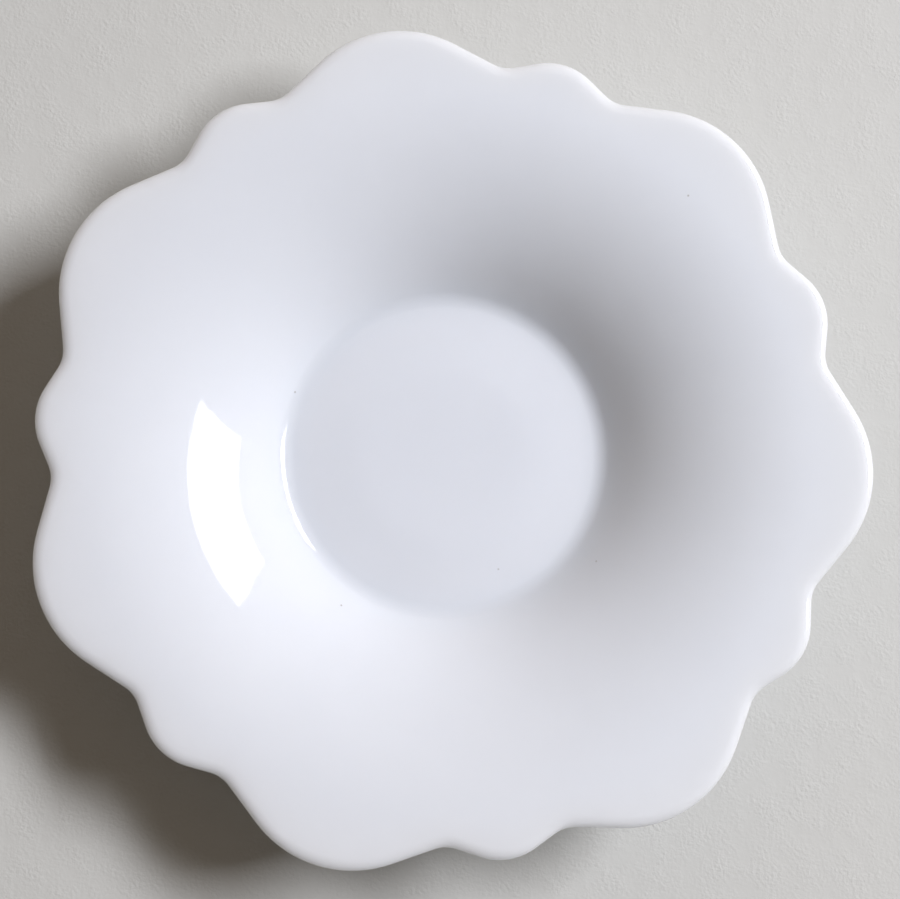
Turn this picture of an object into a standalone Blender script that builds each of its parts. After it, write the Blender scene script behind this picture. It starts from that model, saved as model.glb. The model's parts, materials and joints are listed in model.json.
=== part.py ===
"""Scalloped saucer: one porcelain casting on a foot ring, under a fired coat of glaze.

Metres, +Z up. The origin is on the axis, in the plane of the table that the foot ring stands on, and a wide
lobe of the rim points along +X. Sizes are those of the glazed outside; the porcelain lies one coat below it.
"""

from collections import namedtuple
from math import atan2, cos, pi, radians, sin, tan

import bmesh
import bpy
from mathutils import Matrix, Vector

# The rim from above: a star, its corners rounded into wide lobes, notches and narrow lobes
LOBE_PAIRS = 7
WIDE_CORNER = 0.0851
WIDE_RADIUS = 0.0223
NOTCH_CORNER = 0.0730
NOTCH_RADIUS = 0.0064
NOTCH_ANGLE = radians(17.06)
NARROW_CORNER = 0.0778
NARROW_RADIUS = 0.0115

# The top, from the axis out: a level floor that falls a little to the well's edge, a wall, a flared rim
FLOOR_HEIGHT = 0.0065
FLOOR_LEVEL_RADIUS = 0.0167
FLOOR_FALL = 0.0007
FLOOR_BEND = 0.060
WELL_RADIUS = 0.0306
WELL_FILLET = 0.0049
FLARE_RADIUS = 0.0507
FLARE_HEIGHT = 0.0201
FLARE_BEND = 0.066
RIM_SLOPE = radians(5.8)

# The underside: a foot ring round a shallow hollow, and a wall that thins out to the oval lip
WALL = 0.0031
LIP_THICKNESS = 0.0020
LIP_DEPTH = 0.0022
FOOT_INNER = 0.0280
FOOT_OUTER = 0.0328
FOOT_FILLET = 0.0012
FOOT_EDGE = 0.0005
HOLLOW_HEIGHT = 0.0018
HOLLOW_FILLET = 0.0006

# The glaze stops short of the ground, and a hair of room keeps it clear of the porcelain
GLAZE = 0.00035
GAP = 0.0003
COAT = GLAZE + GAP
GLAZE_END = 0.0009

# The chords that stand for each arc
WIDE_CHORDS = 4
NOTCH_CHORDS = 2
NARROW_CHORDS = 2
FLOOR_CHORDS = 1
WELL_CHORDS = 3
FLARE_CHORDS = 4
LIP_CHORDS = 6
UNDER_CHORDS = 3
FOOT_CHORDS = 2
EDGE_CHORDS = 1

# Both finishes, and the angle from which an edge looks sharp
PORCELAIN_COLOUR = (0.74, 0.71, 0.66)
PORCELAIN_ROUGHNESS = 0.85
GLAZE_COLOUR = (0.79, 0.80, 0.83)
GLAZE_ROUGHNESS = 0.06
SHARP_ANGLE = radians(40)

# A corner of a drawn path, the radius that rounds it off, and the chords that stand for its arc
Corner = namedtuple("Corner", "across up radius chords")


def end(across, up):
    """An end of a path, which isn't rounded."""
    return Corner(across, up, 0, 0)


def right_of(run):
    """The unit normal on the right-hand side of a run."""
    return Vector((run.y, -run.x)).normalized()


def rounded_path(corners, closed=False):
    """The points along a path with its corners rounded, each with the normal on the path's right."""
    places = [Vector((corner.across, corner.up)) for corner in corners]
    last = len(corners) - 1
    path = []
    for index, corner in enumerate(corners):
        before, here, after = places[index - 1], places[index], places[(index + 1) % len(places)]
        if not closed and index == 0:
            path.append((here, right_of(after - here)))
        elif not closed and index == last:
            path.append((here, right_of(here - before)))
        else:
            path += arc_points(before, here, after, corner)
    return path


def arc_points(before, here, after, corner):
    """The points of the arc that rounds off one corner, each with the normal on the path's right."""
    into, out = (here - before).normalized(), (after - here).normalized()
    turn = atan2(into.cross(out), into.dot(out))
    side = 1 if turn > 0 else -1
    start = here - into * corner.radius * tan(abs(turn) / 2)
    centre = start - right_of(into) * corner.radius * side
    points = []
    for step in range(corner.chords + 1):
        normal = Matrix.Rotation(turn * step / corner.chords, 2) @ right_of(into)
        points.append((centre + normal * corner.radius * side, normal))
    return points


def rim_outline():
    """The scalloped edge of the glazed rim, seen from above, anticlockwise from a wide lobe."""
    pitch = 2 * pi / LOBE_PAIRS
    corners = []
    for pair in range(LOBE_PAIRS):
        for angle, reach, radius, chords in (
            (0, WIDE_CORNER, WIDE_RADIUS, WIDE_CHORDS),
            (NOTCH_ANGLE, NOTCH_CORNER, NOTCH_RADIUS, NOTCH_CHORDS),
            (pitch / 2, NARROW_CORNER, NARROW_RADIUS, NARROW_CHORDS),
            (pitch - NOTCH_ANGLE, NOTCH_CORNER, NOTCH_RADIUS, NOTCH_CHORDS),
        ):
            heading = pair * pitch + angle
            corners.append(Corner(reach * cos(heading), reach * sin(heading), radius, chords))
    return rounded_path(corners, closed=True)


# The middle of the lip's oval section all along the rim with the way out, and a radius past the rim
LIP = [(point - normal * LIP_DEPTH, normal) for point, normal in rim_outline()]
PAST_RIM = 2 * WIDE_CORNER

# The wall's slope, and the underside's corners that follow from the wall's thickness
WALL_SLOPE = atan2(FLARE_HEIGHT - (FLOOR_HEIGHT - FLOOR_FALL), FLARE_RADIUS - WELL_RADIUS)
MITRE = WALL / cos((WALL_SLOPE - RIM_SLOPE) / 2)
MITRE_LEAN = (WALL_SLOPE + RIM_SLOPE) / 2
UNDER_RADIUS = FLARE_RADIUS + MITRE * sin(MITRE_LEAN)
UNDER_HEIGHT = FLARE_HEIGHT - MITRE * cos(MITRE_LEAN)
FOOT_TOP_HEIGHT = UNDER_HEIGHT - (UNDER_RADIUS - FOOT_OUTER) * tan(WALL_SLOPE)


def rim_height(radius):
    """The height of the straight part of the rim's top."""
    return FLARE_HEIGHT + (radius - FLARE_RADIUS) * tan(RIM_SLOPE)


def ring(radius, height):
    """One round row of points, below or above the middle of the lip."""
    return [(*(middle.normalized() * radius), height) for middle, _ in LIP]


def section_rows(path, depth):
    """A round row for each point of a section, that far below the glazed surface."""
    spots = [point - normal * depth for point, normal in path]
    return [ring(spot.x, spot.y) for spot in spots]


def hollow_rows(depth):
    """The underside inside the foot ring, from the middle out and down to where the glaze ends."""
    path = rounded_path(
        [
            end(0, HOLLOW_HEIGHT),
            Corner(FOOT_INNER, HOLLOW_HEIGHT, HOLLOW_FILLET, FOOT_CHORDS),
            end(FOOT_INNER, GLAZE_END),
        ]
    )
    return section_rows(path[1:], depth)


def outer_rows(depth):
    """The rest of the glazed surface, from the foot ring out, round the lip and in to the middle."""
    under = rounded_path(
        [
            end(FOOT_OUTER, GLAZE_END),
            Corner(FOOT_OUTER, FOOT_TOP_HEIGHT, FOOT_FILLET, FOOT_CHORDS),
            Corner(UNDER_RADIUS, UNDER_HEIGHT, FLARE_BEND - WALL, UNDER_CHORDS),
            end(PAST_RIM, rim_height(PAST_RIM) - WALL / cos(RIM_SLOPE)),
        ]
    )
    over = rounded_path(
        [
            end(PAST_RIM, rim_height(PAST_RIM)),
            Corner(FLARE_RADIUS, FLARE_HEIGHT, FLARE_BEND, FLARE_CHORDS),
            Corner(WELL_RADIUS, FLOOR_HEIGHT - FLOOR_FALL, WELL_FILLET, WELL_CHORDS),
            Corner(FLOOR_LEVEL_RADIUS, FLOOR_HEIGHT, FLOOR_BEND, FLOOR_CHORDS),
            end(0, FLOOR_HEIGHT),
        ]
    )
    return section_rows(under[:-1], depth) + lip_rows(depth) + section_rows(over[1:-1], depth)


def lip_rows(depth):
    """The oval lip, which leans with the rim, from its underside to its top."""
    lean = Matrix.Rotation(RIM_SLOPE, 2)
    rows = []
    for step in range(LIP_CHORDS + 1):
        lift = pi * step / LIP_CHORDS - pi / 2
        reach = lean @ Vector(((LIP_DEPTH - depth) * cos(lift), (LIP_THICKNESS / 2 - depth) * sin(lift)))
        row = []
        for middle, way_out in LIP:
            centre_height = rim_height(middle.length) - LIP_THICKNESS / 2 / cos(RIM_SLOPE)
            row.append((*(middle + way_out * reach.x), centre_height + reach.y))
        rows.append(row)
    return rows


def foot_rows():
    """The bare foot of the porcelain, from its inner side across the ground to its outer side."""
    path = rounded_path(
        [
            end(FOOT_INNER + COAT, GLAZE_END),
            Corner(FOOT_INNER + COAT, 0, FOOT_EDGE, EDGE_CHORDS),
            Corner(FOOT_OUTER - COAT, 0, FOOT_EDGE, EDGE_CHORDS),
            end(FOOT_OUTER - COAT, GLAZE_END),
        ]
    )
    return section_rows(path[1:-1], 0)


def corner_pairs(loop):
    """Each point of a closed row with the next one."""
    return zip(loop, loop[1:] + loop[:1])


def skin(name, rows, material):
    """One closed body: a strip of faces from each row to the next, and a flat face at both ends."""
    work = bmesh.new()
    loops = [[work.verts.new(place) for place in row] for row in rows]
    for loop, following in zip(loops, loops[1:]):
        for near, far in zip(corner_pairs(loop), corner_pairs(following)):
            work.faces.new((*near, *reversed(far)))
    for loop in (loops[0], loops[-1]):
        work.faces.new(loop)
    bmesh.ops.recalc_face_normals(work, faces=work.faces)
    mesh = bpy.data.meshes.new(name)
    work.to_mesh(mesh)
    work.free()
    mesh.shade_smooth()
    mesh.set_sharp_from_angle(angle=SHARP_ANGLE)
    mesh.materials.append(material)
    body = bpy.data.objects.new(name, mesh)
    bpy.context.collection.objects.link(body)


def finish(name, colour, roughness):
    """A plain ceramic material."""
    material = bpy.data.materials.new(name)
    material.use_nodes = True
    shader = material.node_tree.nodes["Principled BSDF"]
    shader.inputs["Base Color"].default_value = (*colour, 1)
    shader.inputs["Roughness"].default_value = roughness
    shader.inputs["Metallic"].default_value = 0
    return material


def main():
    for leftover in list(bpy.data.objects):
        bpy.data.objects.remove(leftover)
    porcelain = finish("porcelain", PORCELAIN_COLOUR, PORCELAIN_ROUGHNESS)
    glaze = finish("glaze", GLAZE_COLOUR, GLAZE_ROUGHNESS)
    skin("porcelain_body", hollow_rows(COAT) + foot_rows() + outer_rows(COAT), porcelain)
    skin("glaze_coat", outer_rows(0)[::-1] + outer_rows(GLAZE), glaze)
    skin("base_glaze", hollow_rows(0) + hollow_rows(GLAZE)[::-1], glaze)


main()
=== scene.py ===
"""Looks of the scalloped saucer: its fired glaze, its bare foot, the table it stands on and the soft light.

Metres, +Z up, in the frame of the solids: the axis is +Z, the table is at zero, and a wide lobe is on +X.
"""

import json
from collections import namedtuple
from math import atan2, ceil, cos, pi, radians, sin, sqrt, tan

import bmesh
import bpy
from mathutils import Matrix, Vector


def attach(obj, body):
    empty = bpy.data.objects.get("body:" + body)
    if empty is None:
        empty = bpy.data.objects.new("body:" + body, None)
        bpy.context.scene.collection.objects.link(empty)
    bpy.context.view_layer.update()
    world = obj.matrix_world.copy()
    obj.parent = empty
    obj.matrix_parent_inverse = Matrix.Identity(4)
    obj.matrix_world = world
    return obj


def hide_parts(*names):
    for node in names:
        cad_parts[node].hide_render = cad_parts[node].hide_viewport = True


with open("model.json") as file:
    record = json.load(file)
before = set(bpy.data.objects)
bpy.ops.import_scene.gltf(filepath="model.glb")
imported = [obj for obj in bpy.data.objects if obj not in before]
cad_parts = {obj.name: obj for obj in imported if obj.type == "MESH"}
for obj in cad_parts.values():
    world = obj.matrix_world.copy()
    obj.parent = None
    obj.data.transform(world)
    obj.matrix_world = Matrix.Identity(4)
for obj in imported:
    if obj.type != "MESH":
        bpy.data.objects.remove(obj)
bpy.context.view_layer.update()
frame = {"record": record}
mount_height = {mount["name"]: mount["pos_m"][2] for mount in frame["record"]["mounts"]}

# The rim from above: a star, its corners rounded into wide lobes, notches and narrow lobes
LOBE_PAIRS = 7
WIDE_CORNER = 0.0851
WIDE_RADIUS = 0.0223
NOTCH_CORNER = 0.0730
NOTCH_RADIUS = 0.0064
NOTCH_ANGLE = radians(17.06)
NARROW_CORNER = 0.0778
NARROW_RADIUS = 0.0115

# The top, from the axis out: a level floor that falls a little to the well's edge, a wall, a flared rim
FLOOR_HEIGHT = mount_height["cup_seat"]
FLOOR_LEVEL_RADIUS = 0.0167
FLOOR_FALL = 0.0007
FLOOR_BEND = 0.060
WELL_RADIUS = 0.0306
WELL_FILLET = 0.0049
FLARE_RADIUS = 0.0507
FLARE_HEIGHT = 0.0201
FLARE_BEND = 0.066
RIM_SLOPE = radians(5.8)

# The underside: a foot ring round a shallow hollow, and a wall that thins out to the oval lip
WALL = 0.0031
LIP_THICKNESS = 0.0020
LIP_DEPTH = 0.0022
FOOT_INNER = 0.0280
FOOT_OUTER = 0.0328
FOOT_FILLET = 0.0012
FOOT_EDGE = 0.0005
HOLLOW_HEIGHT = 0.0018
HOLLOW_FILLET = 0.0006

# The glaze, and the bead that it ends in above the ground
GLAZE = 0.00035
GLAZE_END = 0.0009
GLAZE_BEAD = 0.0002
BEAD_RADIUS = 0.99 * GLAZE_BEAD

# Chords of the arcs, the longest run without a row of points, and a hair for rounded-off numbers
WIDE_CHORDS = 18
NOTCH_CHORDS = 9
NARROW_CHORDS = 10
FLOOR_CHORDS = 4
WELL_CHORDS = 14
FLARE_CHORDS = 24
LIP_CHORDS = 24
UNDER_CHORDS = 16
FOOT_CHORDS = 6
EDGE_CHORDS = 4
RIM_RUN = 0.0016
SECTION_RUN = 0.0030
ROUND_OFF = 1.0001

# The columns of points are counted from just before +X, where no point lies
JUST_BEFORE = radians(0.1)

# The camera: which way the picture is turned, and where it looks from
PICTURE_TURN = radians(4.32)
CAMERA_LEAN = Vector((-0.03016, -0.09332))
CAMERA_AIM = Vector((0.00112, 0.00101))
CAMERA_DISTANCE = 0.3590
CAMERA_LENS = 73.90
CAMERA_NEAREST = 0.01
SENSOR_WIDTH = 36

# One wide soft lamp on the right of the picture, brighter in its middle
LAMP_AZIMUTH = radians(19.6)
LAMP_FROM_ZENITH = radians(48.8)
LAMP_DISTANCE = 1.65
LAMP_WIDTH = 0.87
LAMP_HEIGHT = 0.57
LAMP_ROLL = radians(-1.4)
LAMP_POWER = 38.1
LAMP_COLOUR = (0.928, 0.936, 1.0)
MIDDLE_HEIGHT = 0.29
MIDDLE_SHARE = 0.6
MIDDLE_AHEAD = 0.01

# The room's own light, which is stronger from one side
ROOM_COLOUR = (1.0, 0.822, 0.675)
ROOM_STRENGTH = 0.188
ROOM_LEAN = Vector((-0.28, 0.80, -0.15))

# Colours as they are written on the surfaces
GLAZE_COLOUR = (0.755, 0.787, 0.841)
POOL_COLOUR = (0.740, 0.788, 0.850)
SPECK_COLOUR = (0.36, 0.34, 0.31)
PORCELAIN_COLOUR = (0.74, 0.71, 0.66)
RUBBED_COLOUR = (0.66, 0.62, 0.57)
TABLE_COLOUR = (0.577, 0.579, 0.549)
FIBRE_COLOUR = (0.22, 0.21, 0.20)

# The glaze: how smooth it is, how far light soaks in, and its slow drifts of tone, gloss and height
GLAZE_SMOOTHEST = 0.035
GLAZE_ROUGHEST = 0.060
GLAZE_SCATTER = 0.0061
WELL_POOL_WIDTH = 0.006
FOOT_POOL_WIDTH = 0.003
POOL_SHARE = 0.35
TONE_SCALE = 40
TONE_DRIFT = 0.010
GLOSS_SCALE = 150
RIPPLE_SCALE = 80
RIPPLE_DEPTH = 0.00002

# Specks: how far apart they may lie, how large they are, and how many of the places have one
SPECK_PITCH = 0.006
SPECK_RADIUS = 0.00028
SPECK_SHARE = 0.10

# The bare foot: its grain, the rings that grinding left and the line that tables have rubbed
PORCELAIN_ROUGHNESS = 0.85
BISCUIT_DRIFT = 0.03
BISCUIT_GRAIN = 0.00025
BISCUIT_DETAIL = 3
BISCUIT_DEPTH = 0.00004
GRINDING_PITCH = 0.0016
GRINDING_WOBBLE = 2
GRINDING_DEPTH = 0.00003
RUBBED_WIDTH = 0.0010

# The table: its drift of tone, its grain in rougher and smoother patches, and its dark fibres
TABLE_SIDE = 6
PAPER_SCALE = 14
PAPER_DRIFT = 0.012
PAPER_GRAIN = 0.0007
PAPER_DETAIL = 1
PAPER_DEPTH = 0.00012
PAPER_PATCHES = 180
PAPER_SMOOTHEST = 0.1
FIBRE_PITCH = 0.016

# The detail of slow drifts, where noise values mostly lie, and the colour sockets of a mix node
DRIFT_DETAIL = 2
NOISE_LOW = 0.3
NOISE_HIGH = 0.7
MIX_FIRST = 6
MIX_SECOND = 7
MIX_RESULT = 2

# A corner of a drawn path, the radius that rounds it off, and the chords that stand for its arc
Corner = namedtuple("Corner", "across up radius chords")


def end(across, up):
    """An end of a path, which isn't rounded."""
    return Corner(across, up, 0, 0)


def right_of(run):
    """The unit normal on the right-hand side of a run."""
    return Vector((run.y, -run.x)).normalized()


def arc_points(before, here, after, corner):
    """The points of the arc that rounds off one corner, each with the normal on the path's right."""
    into, out = (here - before).normalized(), (after - here).normalized()
    turn = atan2(into.cross(out), into.dot(out))
    side = 1 if turn > 0 else -1
    start = here - into * corner.radius * tan(abs(turn) / 2)
    centre = start - right_of(into) * corner.radius * side
    points = []
    for step in range(corner.chords + 1):
        normal = Matrix.Rotation(turn * step / corner.chords, 2) @ right_of(into)
        points.append((centre + normal * corner.radius * side, normal))
    return points


def rounded_path(corners, longest, closed=False):
    """The points along a path with its corners rounded, each with the normal on the path's right."""
    places = [Vector((corner.across, corner.up)) for corner in corners]
    last = len(corners) - 1
    path = []
    for index, corner in enumerate(corners):
        before, here, after = places[index - 1], places[index], places[(index + 1) % len(places)]
        if not closed and index == 0:
            path.append((here, right_of(after - here)))
        elif not closed and index == last:
            path.append((here, right_of(here - before)))
        else:
            path += arc_points(before, here, after, corner)
    if closed:
        return stepped(path + path[:1], longest)[:-1]
    return stepped(path, longest)


def stepped(path, longest):
    """The same path with points added along its straight runs."""
    fuller = [path[0]]
    for (start, normal), (stop, next_normal) in zip(path, path[1:]):
        parts = ceil((stop - start).length / longest)
        for part in range(1, parts):
            share = part / parts
            fuller.append((start.lerp(stop, share), normal.lerp(next_normal, share).normalized()))
        fuller.append((stop, next_normal))
    return fuller


def rim_outline():
    """The scalloped edge of the glazed rim, seen from above, anticlockwise from a wide lobe."""
    pitch = 2 * pi / LOBE_PAIRS
    corners = []
    for pair in range(LOBE_PAIRS):
        for angle, reach, radius, chords in (
            (0, WIDE_CORNER, WIDE_RADIUS, WIDE_CHORDS),
            (NOTCH_ANGLE, NOTCH_CORNER, NOTCH_RADIUS, NOTCH_CHORDS),
            (pitch / 2, NARROW_CORNER, NARROW_RADIUS, NARROW_CHORDS),
            (pitch - NOTCH_ANGLE, NOTCH_CORNER, NOTCH_RADIUS, NOTCH_CHORDS),
        ):
            heading = pair * pitch + angle
            corners.append(Corner(reach * cos(heading), reach * sin(heading), radius, chords))
    return rounded_path(corners, RIM_RUN, closed=True)


def angle_round_axis(place):
    """How far round the axis a place is, counted from just before +X."""
    return (atan2(place.y, place.x) + JUST_BEFORE) % (2 * pi)


# The middle of the lip's oval section with the way out, column by column, and a radius past the rim
LIP = [(point - normal * LIP_DEPTH, normal) for point, normal in rim_outline()]
LIP.sort(key=lambda column: angle_round_axis(column[0]))
PAST_RIM = 2 * WIDE_CORNER

# The wall's slope, and the underside's corners that follow from the wall's thickness
WALL_SLOPE = atan2(FLARE_HEIGHT - (FLOOR_HEIGHT - FLOOR_FALL), FLARE_RADIUS - WELL_RADIUS)
MITRE = WALL / cos((WALL_SLOPE - RIM_SLOPE) / 2)
MITRE_LEAN = (WALL_SLOPE + RIM_SLOPE) / 2
UNDER_RADIUS = FLARE_RADIUS + MITRE * sin(MITRE_LEAN)
UNDER_HEIGHT = FLARE_HEIGHT - MITRE * cos(MITRE_LEAN)
FOOT_TOP_HEIGHT = UNDER_HEIGHT - (UNDER_RADIUS - FOOT_OUTER) * tan(WALL_SLOPE)


def rim_height(radius):
    """The height of the straight part of the rim's top."""
    return FLARE_HEIGHT + (radius - FLARE_RADIUS) * tan(RIM_SLOPE)


def section_rows(path, depth):
    """A round row for each point of a section, that far below the glazed surface."""
    rows = []
    for point, normal in path:
        spot = point - normal * depth
        rows.append([(middle.normalized() * spot.x).to_3d() + Vector((0, 0, spot.y)) for middle, _ in LIP])
    return rows


def lip_rows(depth):
    """The oval lip, which leans with the rim, from its underside to its top."""
    lean = Matrix.Rotation(RIM_SLOPE, 2)
    rows = []
    for step in range(LIP_CHORDS + 1):
        lift = pi * step / LIP_CHORDS - pi / 2
        reach = lean @ Vector(((LIP_DEPTH - depth) * cos(lift), (LIP_THICKNESS / 2 - depth) * sin(lift)))
        row = []
        for middle, way_out in LIP:
            centre_height = rim_height(middle.length) - LIP_THICKNESS / 2 / cos(RIM_SLOPE)
            row.append(Vector((*(middle + way_out * reach.x), centre_height + reach.y)))
        rows.append(row)
    return rows


def rows_between(outer, inner):
    """Rows that fill the cone between two rows, which are too far apart for one strip of faces."""
    farthest = max((stop - start).length for start, stop in zip(outer, inner))
    parts = ceil(farthest / SECTION_RUN)
    shares = [part / parts for part in range(1, parts)]
    return [[start.lerp(stop, share) for start, stop in zip(outer, inner)] for share in shares]


def hollow_rows(depth):
    """The underside inside the foot ring, from the middle out and down to where the glaze ends."""
    path = rounded_path(
        [
            end(0, HOLLOW_HEIGHT),
            Corner(FOOT_INNER, HOLLOW_HEIGHT, HOLLOW_FILLET, FOOT_CHORDS),
            end(FOOT_INNER, GLAZE_END + GLAZE_BEAD),
        ],
        SECTION_RUN,
    )
    return section_rows(path[1:], depth)


def outer_rows(depth):
    """The rest of the glazed surface, from the foot ring out, round the lip and in to the middle."""
    under_path = rounded_path(
        [
            end(FOOT_OUTER, GLAZE_END + GLAZE_BEAD),
            Corner(FOOT_OUTER, FOOT_TOP_HEIGHT, FOOT_FILLET, FOOT_CHORDS),
            Corner(UNDER_RADIUS, UNDER_HEIGHT, FLARE_BEND - WALL, UNDER_CHORDS),
            end(PAST_RIM, rim_height(PAST_RIM) - WALL / cos(RIM_SLOPE)),
        ],
        SECTION_RUN,
    )
    over_path = rounded_path(
        [
            end(PAST_RIM, rim_height(PAST_RIM)),
            Corner(FLARE_RADIUS, FLARE_HEIGHT, FLARE_BEND, FLARE_CHORDS),
            Corner(WELL_RADIUS, FLOOR_HEIGHT - FLOOR_FALL, WELL_FILLET, WELL_CHORDS),
            Corner(FLOOR_LEVEL_RADIUS, FLOOR_HEIGHT, FLOOR_BEND, FLOOR_CHORDS),
            end(0, FLOOR_HEIGHT),
        ],
        SECTION_RUN,
    )
    rim_start = FLARE_RADIUS + FLARE_BEND * tan((WALL_SLOPE - RIM_SLOPE) / 2) * cos(RIM_SLOPE)
    under = section_rows([spot for spot in under_path if spot[0].x < rim_start + WALL], depth)
    over = section_rows([spot for spot in over_path[:-1] if spot[0].x < rim_start * ROUND_OFF], depth)
    lip = lip_rows(depth)
    return under + rows_between(under[-1], lip[0]) + lip + rows_between(lip[-1], over[0]) + over


def bead_rows():
    """The rounded edges where the glaze ends, and the hidden band between them that the foot covers."""
    path = rounded_path(
        [
            end(FOOT_INNER, GLAZE_END + GLAZE_BEAD),
            Corner(FOOT_INNER, GLAZE_END, BEAD_RADIUS, EDGE_CHORDS),
            Corner(FOOT_OUTER, GLAZE_END, BEAD_RADIUS, EDGE_CHORDS),
            end(FOOT_OUTER, GLAZE_END + GLAZE_BEAD),
        ],
        SECTION_RUN,
    )
    return section_rows(path[1:-1], 0)


def foot_rows():
    """The bare foot of the porcelain, from its inner side across the ground to its outer side."""
    path = rounded_path(
        [
            end(FOOT_INNER + GLAZE, GLAZE_END),
            Corner(FOOT_INNER + GLAZE, 0, FOOT_EDGE, EDGE_CHORDS),
            Corner(FOOT_OUTER - GLAZE, 0, FOOT_EDGE, EDGE_CHORDS),
            end(FOOT_OUTER - GLAZE, GLAZE_END),
        ],
        SECTION_RUN,
    )
    return section_rows(path, 0)


def place_ring(piece, places):
    """Put the selected ring of points where it belongs, column by column."""
    mesh = bmesh.from_edit_mesh(piece.data)
    chosen = [corner for corner in mesh.verts if corner.select]
    ring = sorted(chosen, key=lambda corner: angle_round_axis(corner.co))
    for corner, place in zip(ring, places):
        corner.co = place
    bmesh.update_edit_mesh(piece.data, loop_triangles=False)


def turned_body(name, rows):
    """A closed body: a disc on the axis, extruded row by row and drawn together on the axis again."""
    bpy.ops.object.select_all(action="DESELECT")
    bpy.ops.mesh.primitive_circle_add(vertices=len(LIP), radius=rows[0][0].length, fill_type="NOTHING")
    piece = bpy.context.object
    piece.name = name
    piece.data.name = name
    bpy.ops.object.mode_set(mode="EDIT")
    bpy.ops.mesh.select_mode(type="EDGE")
    bpy.ops.mesh.select_all(action="SELECT")
    place_ring(piece, rows[0])
    bpy.ops.mesh.edge_face_add()
    bpy.ops.mesh.poke()
    bpy.ops.mesh.select_all(action="SELECT")
    bpy.ops.mesh.region_to_loop()
    for places in rows[1:]:
        bpy.ops.mesh.extrude_region_move()
        place_ring(piece, places)
    bpy.ops.mesh.extrude_region_move()
    bpy.ops.mesh.merge(type="CENTER")
    bpy.ops.mesh.select_all(action="SELECT")
    bpy.ops.mesh.normals_make_consistent(inside=False)
    bpy.ops.object.mode_set(mode="OBJECT")
    bpy.ops.object.shade_smooth()
    return piece


def node(tree, kind, *values, **named):
    """A shader node. Lower-case names are its settings; values and capitalised names go to its sockets."""
    made = tree.nodes.new("ShaderNode" + kind)
    for name, value in named.items():
        if name.islower():
            setattr(made, name, value)
    given = list(zip(made.inputs, values))
    given += [(made.inputs[name.replace("_", " ")], named[name]) for name in named if not name.islower()]
    for socket, value in given:
        if isinstance(value, bpy.types.NodeSocket):
            tree.links.new(value, socket)
        else:
            socket.default_value = value
    return made


def blended(tree, share, one, other):
    """One colour passing into another."""
    mix = node(tree, "Mix", data_type="RGBA", Factor=share)
    for index, colour in ((MIX_FIRST, one), (MIX_SECOND, other)):
        if isinstance(colour, bpy.types.NodeSocket):
            tree.links.new(colour, mix.inputs[index])
        else:
            mix.inputs[index].default_value = (*colour, 1)
    return mix.outputs[MIX_RESULT]


def new_effect(name, *numbers):
    """An empty node group that takes a place and some numbers and gives one value."""
    tree = bpy.data.node_groups.new(name, "ShaderNodeTree")
    tree.interface.new_socket("Vector", in_out="INPUT", socket_type="NodeSocketVector")
    for number in numbers:
        tree.interface.new_socket(number, in_out="INPUT", socket_type="NodeSocketFloat")
    tree.interface.new_socket("Value", in_out="OUTPUT", socket_type="NodeSocketFloat")
    return tree, tree.nodes.new("NodeGroupInput").outputs, tree.nodes.new("NodeGroupOutput").inputs["Value"]


def variation_effect():
    """A value that drifts softly between two limits."""
    tree, given, result = new_effect("soft_variation", "Scale", "Least", "Most")
    noise = node(tree, "TexNoise", Vector=given["Vector"], Scale=given["Scale"], Detail=DRIFT_DETAIL)
    drift = node(
        tree,
        "MapRange",
        Value=noise.outputs["Fac"],
        From_Min=NOISE_LOW,
        From_Max=NOISE_HIGH,
        To_Min=given["Least"],
        To_Max=given["Most"],
    )
    tree.links.new(drift.outputs["Result"], result)
    return tree


def speck_effect():
    """A mask of a few small round specks, far apart."""
    tree, given, result = new_effect("kiln_specks", "Pitch", "Radius", "Share")
    scale = node(tree, "Math", 1, given["Pitch"], operation="DIVIDE").outputs["Value"]
    reach = node(tree, "Math", given["Radius"], given["Pitch"], operation="DIVIDE").outputs["Value"]
    cells = node(tree, "TexVoronoi", Vector=given["Vector"], Scale=scale)
    dot = node(tree, "MapRange", Value=cells.outputs["Distance"], From_Max=reach, To_Min=1, To_Max=0)
    lot = node(tree, "SeparateColor", Color=cells.outputs["Color"])
    drawn = node(tree, "Math", lot.outputs["Red"], given["Share"], operation="LESS_THAN")
    mask = node(tree, "Math", dot.outputs["Result"], drawn.outputs["Value"], operation="MULTIPLY")
    tree.links.new(mask.outputs["Value"], result)
    return tree


def grain_effect():
    """The height of a fine, close grain."""
    tree, given, result = new_effect("fine_grain", "Scale", "Detail")
    noise = node(tree, "TexNoise", Vector=given["Vector"], Scale=given["Scale"], Detail=given["Detail"])
    tree.links.new(noise.outputs["Fac"], result)
    return tree


def ring_effect():
    """A mask that is full on a circle round the axis and fades out on both sides of it."""
    tree, given, result = new_effect("ring_mask", "Radius", "Width")
    flat = node(tree, "VectorMath", given["Vector"], (1, 1, 0), operation="MULTIPLY")
    out = node(tree, "VectorMath", flat.outputs["Vector"], operation="LENGTH")
    off = node(tree, "Math", out.outputs["Value"], given["Radius"], operation="SUBTRACT")
    apart = node(tree, "Math", off.outputs["Value"], operation="ABSOLUTE")
    fade = node(
        tree,
        "MapRange",
        Value=apart.outputs["Value"],
        From_Max=given["Width"],
        To_Min=1,
        To_Max=0,
        interpolation_type="SMOOTHSTEP",
    )
    tree.links.new(fade.outputs["Result"], result)
    return tree


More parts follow.
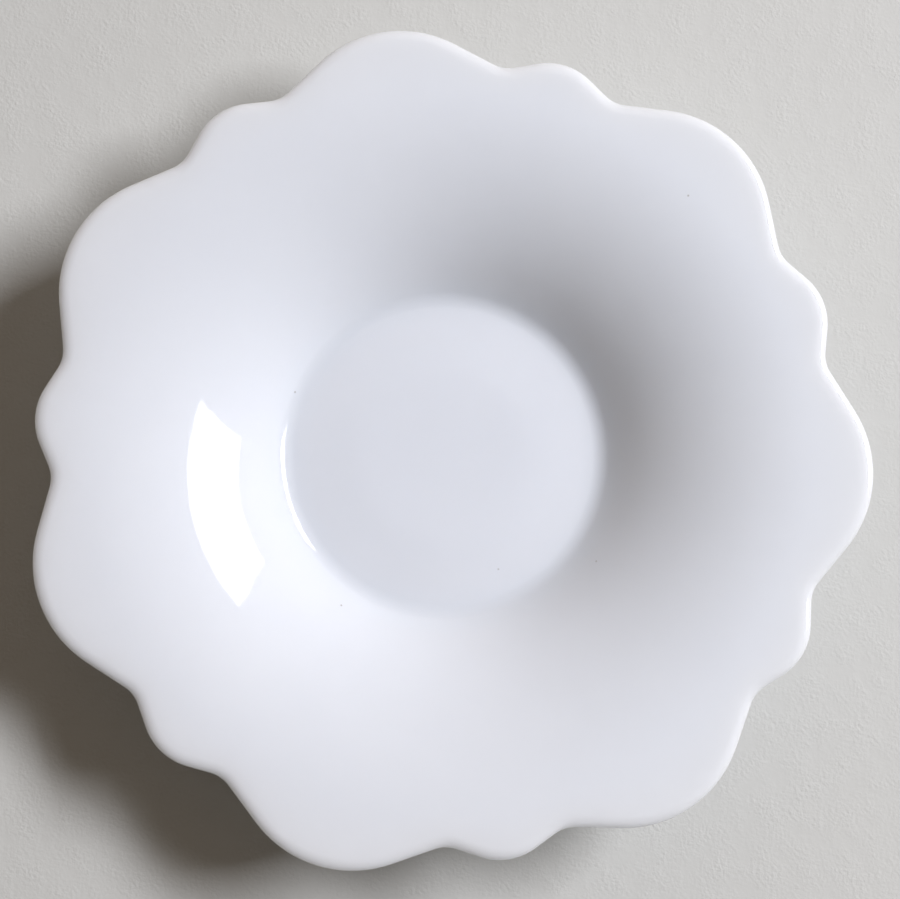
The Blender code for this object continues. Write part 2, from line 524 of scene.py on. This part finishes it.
class Finish:
    """A fresh material with its shader, and the effects laid on it by place."""

    def __init__(self, name, effects):
        self.material = bpy.data.materials.new(name)
        self.material.use_nodes = True
        self.tree = self.material.node_tree
        self.shader = self.tree.nodes["Principled BSDF"]
        self.effects = effects
        self.place = node(self.tree, "TexCoord").outputs["Object"]

    def laid(self, effect, **numbers):
        """The value of one shared effect over the surface."""
        made = node(self.tree, "Group", node_tree=self.effects[effect], Vector=self.place, **numbers)
        return made.outputs["Value"]

    def dimmed(self, colour, share):
        """A colour made lighter or darker by a value."""
        return node(self.tree, "VectorMath", colour, operation="SCALE", Scale=share).outputs["Vector"]

    def product(self, one, other):
        """Two values multiplied."""
        return node(self.tree, "Math", one, other, operation="MULTIPLY").outputs["Value"]

    def feed(self, socket, value):
        """Link a value into the shader."""
        self.tree.links.new(value, self.shader.inputs[socket])

    def raised(self, height, depth, under=None):
        """The normal of a surface with that relief, over the relief under it."""
        bump = node(self.tree, "Bump", Height=height, Distance=depth)
        if under is not None:
            self.tree.links.new(under, bump.inputs["Normal"])
        return bump.outputs["Normal"]


def fired_glaze(effects):
    """Glossy bluish-white glaze on ware that light soaks into, pooled a little by the well and the foot."""
    finish = Finish("fired_glaze", effects)
    well_pool = finish.laid("ring_mask", Radius=WELL_RADIUS, Width=WELL_POOL_WIDTH)
    foot_pool = finish.laid("ring_mask", Radius=FOOT_OUTER, Width=FOOT_POOL_WIDTH)
    pooled = node(finish.tree, "Math", well_pool, foot_pool, operation="MAXIMUM").outputs["Value"]
    tint = blended(finish.tree, finish.product(pooled, POOL_SHARE), GLAZE_COLOUR, POOL_COLOUR)
    tone = finish.laid("soft_variation", Scale=TONE_SCALE, Least=1 - TONE_DRIFT, Most=1 + TONE_DRIFT)
    specks = finish.laid("kiln_specks", Pitch=SPECK_PITCH, Radius=SPECK_RADIUS, Share=SPECK_SHARE)
    finish.feed("Base Color", blended(finish.tree, specks, finish.dimmed(tint, tone), SPECK_COLOUR))
    gloss = finish.laid("soft_variation", Scale=GLOSS_SCALE, Least=GLAZE_SMOOTHEST, Most=GLAZE_ROUGHEST)
    finish.feed("Roughness", gloss)
    ripple = finish.laid("soft_variation", Scale=RIPPLE_SCALE, Least=0, Most=1)
    finish.feed("Normal", finish.raised(ripple, RIPPLE_DEPTH))
    finish.shader.inputs["Subsurface Weight"].default_value = 1
    finish.shader.inputs["Subsurface Radius"].default_value = (1, 1, 1)
    finish.shader.inputs["Subsurface Scale"].default_value = GLAZE_SCATTER
    return finish.material


def bare_porcelain(effects):
    """Porcelain without glaze: matt and grainy, with rings from grinding and a rubbed line on the foot."""
    finish = Finish("bare_porcelain", effects)
    tone = finish.laid("soft_variation", Scale=TONE_SCALE, Least=1 - BISCUIT_DRIFT, Most=1 + BISCUIT_DRIFT)
    rubbed = finish.laid("ring_mask", Radius=(FOOT_INNER + FOOT_OUTER) / 2, Width=RUBBED_WIDTH)
    tint = blended(finish.tree, rubbed, PORCELAIN_COLOUR, RUBBED_COLOUR)
    specks = finish.laid("kiln_specks", Pitch=SPECK_PITCH, Radius=SPECK_RADIUS, Share=SPECK_SHARE)
    finish.feed("Base Color", blended(finish.tree, specks, finish.dimmed(tint, tone), SPECK_COLOUR))
    grain = finish.laid("fine_grain", Scale=1 / BISCUIT_GRAIN, Detail=BISCUIT_DETAIL)
    rings = node(
        finish.tree,
        "TexWave",
        Vector=finish.place,
        Scale=1 / GRINDING_PITCH,
        Distortion=GRINDING_WOBBLE,
        wave_type="RINGS",
        rings_direction="Z",
    )
    ground = finish.raised(rings.outputs["Fac"], GRINDING_DEPTH)
    finish.feed("Normal", finish.raised(grain, BISCUIT_DEPTH, ground))
    finish.shader.inputs["Roughness"].default_value = PORCELAIN_ROUGHNESS
    return finish.material


def table_paper(effects):
    """The pale matt table, with a fine patchy grain and a few dark fibres."""
    finish = Finish("table_paper", effects)
    tone = finish.laid("soft_variation", Scale=PAPER_SCALE, Least=1 - PAPER_DRIFT, Most=1 + PAPER_DRIFT)
    fibres = finish.laid("kiln_specks", Pitch=FIBRE_PITCH, Radius=SPECK_RADIUS, Share=SPECK_SHARE)
    finish.feed("Base Color", blended(finish.tree, fibres, finish.dimmed(TABLE_COLOUR, tone), FIBRE_COLOUR))
    grain = finish.laid("fine_grain", Scale=1 / PAPER_GRAIN, Detail=PAPER_DETAIL)
    patches = finish.laid("soft_variation", Scale=PAPER_PATCHES, Least=PAPER_SMOOTHEST, Most=1)
    finish.feed("Normal", finish.raised(finish.product(grain, patches), PAPER_DEPTH))
    finish.shader.inputs["Roughness"].default_value = 1
    finish.shader.inputs["Specular IOR Level"].default_value = 0
    return finish.material


def in_picture(across, up, height):
    """A point or direction given along the picture's right, its top and the axis."""
    return Matrix.Rotation(PICTURE_TURN, 3, "Z") @ Vector((across, up, height))


def facing(back, upwards):
    """The turn of a camera or lamp whose back is that way, with its top as near to upwards as can be."""
    right = upwards.cross(back).normalized()
    return Matrix((right, back.cross(right), back)).transposed()


def set_camera():
    """The view from nearly overhead."""
    back = in_picture(*CAMERA_LEAN, sqrt(1 - CAMERA_LEAN.length_squared))
    camera = bpy.data.objects.new("camera", bpy.data.cameras.new("camera"))
    camera.data.sensor_width = SENSOR_WIDTH
    camera.data.lens = CAMERA_LENS
    camera.data.clip_start = CAMERA_NEAREST
    place = in_picture(*CAMERA_AIM, FLOOR_HEIGHT) + back * CAMERA_DISTANCE
    turn = facing(back, in_picture(0, 1, 0))
    camera.matrix_world = Matrix.Translation(place) @ turn.to_4x4()
    bpy.context.collection.objects.link(camera)
    bpy.context.scene.camera = camera


def set_lamp():
    """The soft lamp, facing the saucer: the whole of it, and its brighter middle just ahead."""
    level = sin(LAMP_FROM_ZENITH)
    back = in_picture(level * cos(LAMP_AZIMUTH), level * sin(LAMP_AZIMUTH), cos(LAMP_FROM_ZENITH))
    turn = facing(back, Vector((0, 0, 1))) @ Matrix.Rotation(LAMP_ROLL, 3, "Z")
    for name, height, share, distance in (
        ("soft_lamp", LAMP_HEIGHT, 1 - MIDDLE_SHARE, LAMP_DISTANCE),
        ("lamp_middle", MIDDLE_HEIGHT, MIDDLE_SHARE, LAMP_DISTANCE - MIDDLE_AHEAD),
    ):
        lamp = bpy.data.objects.new(name, bpy.data.lights.new(name, "AREA"))
        lamp.data.shape = "RECTANGLE"
        lamp.data.size = LAMP_WIDTH
        lamp.data.size_y = height
        lamp.data.energy = LAMP_POWER * share
        lamp.data.color = LAMP_COLOUR
        lamp.matrix_world = Matrix.Translation(back * distance) @ turn.to_4x4()
        bpy.context.collection.objects.link(lamp)


def set_room():
    """The room's soft light, stronger from one side."""
    world = bpy.data.worlds.new("room")
    world.use_nodes = True
    tree = world.node_tree
    direction = node(tree, "TexCoord").outputs["Generated"]
    lean = node(tree, "VectorMath", direction, in_picture(*ROOM_LEAN), operation="DOT_PRODUCT")
    level = node(tree, "Math", lean.outputs["Value"], ROOM_STRENGTH, ROOM_STRENGTH, operation="MULTIPLY_ADD")
    background = tree.nodes["Background"]
    background.inputs["Color"].default_value = (*ROOM_COLOUR, 1)
    tree.links.new(level.outputs["Value"], background.inputs["Strength"])
    bpy.context.scene.world = world


def set_table(effects):
    """The pale table under the saucer."""
    bpy.ops.object.select_all(action="DESELECT")
    bpy.ops.mesh.primitive_plane_add(size=TABLE_SIDE)
    table = bpy.context.object
    table.name = "table"
    table.data.materials.append(table_paper(effects))


def main():
    shared = (variation_effect(), speck_effect(), grain_effect(), ring_effect())
    effects = {effect.name: effect for effect in shared}
    set_camera()
    set_lamp()
    set_room()
    set_table(effects)
    glaze = turned_body("glaze", hollow_rows(0) + bead_rows() + outer_rows(0))
    glaze.data.materials.append(fired_glaze(effects))
    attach(glaze, "root")
    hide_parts("glaze_coat", "base_glaze")
    porcelain = turned_body("porcelain", hollow_rows(GLAZE) + foot_rows() + outer_rows(GLAZE))
    porcelain.data.materials.append(bare_porcelain(effects))
    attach(porcelain, "root")
    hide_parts("porcelain_body")
    bpy.context.scene.view_settings.view_transform = "Standard"


main()
